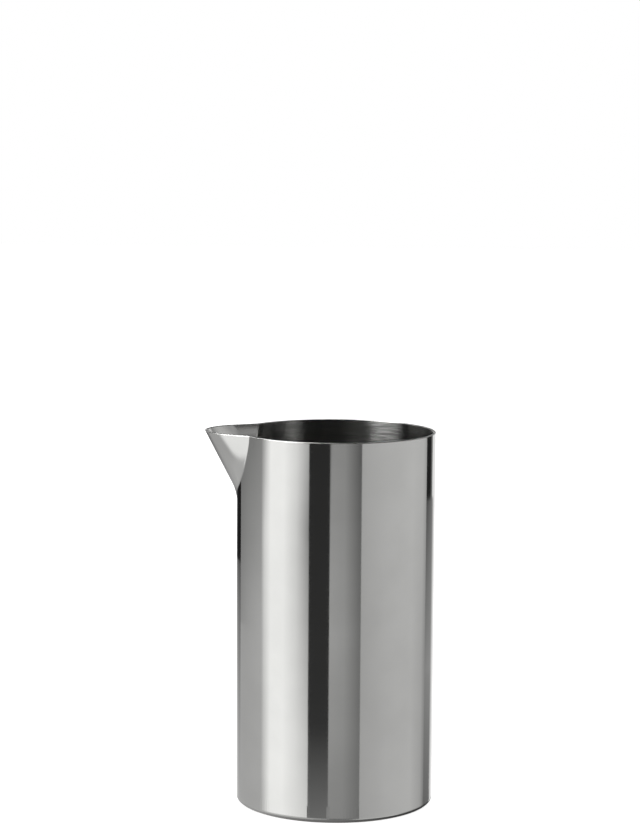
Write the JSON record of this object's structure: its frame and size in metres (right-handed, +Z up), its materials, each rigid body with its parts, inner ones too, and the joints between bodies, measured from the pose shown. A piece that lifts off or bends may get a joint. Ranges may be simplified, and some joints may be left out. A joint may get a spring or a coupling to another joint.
{
  "type": "milk jug",
  "caption": "Small upright round milk jug in polished stainless steel, brushed inside, single-walled and open at the top, with a pressed pouring lip at the rim and no handle.",
  "frame": {"origin": "on the axis of the round wall, on the table that the base stands on", "axes": "+Z up along the wall's axis, -X towards the pouring lip, -Y towards the viewer of the picture"},
  "size_m": [0.0652, 0.056, 0.106],
  "materials": {
    "polished_wall": "mirror-polished outside, brushed round inside",
    "polished_lip": "mirror-polished outside, brushed inside",
    "polished_base": "polished outside, turned in rings inside and below",
    "ground_weld": "ground flush and polished with the sheet"
  },
  "bodies": {
    "root": {"body_tube": "polished_wall", "tube_seam_weld": "ground_weld", "spout": "polished_lip", "spout_weld": "ground_weld", "base_pan": "polished_base", "base_weld": "ground_weld"}
  },
  "joints": []
}
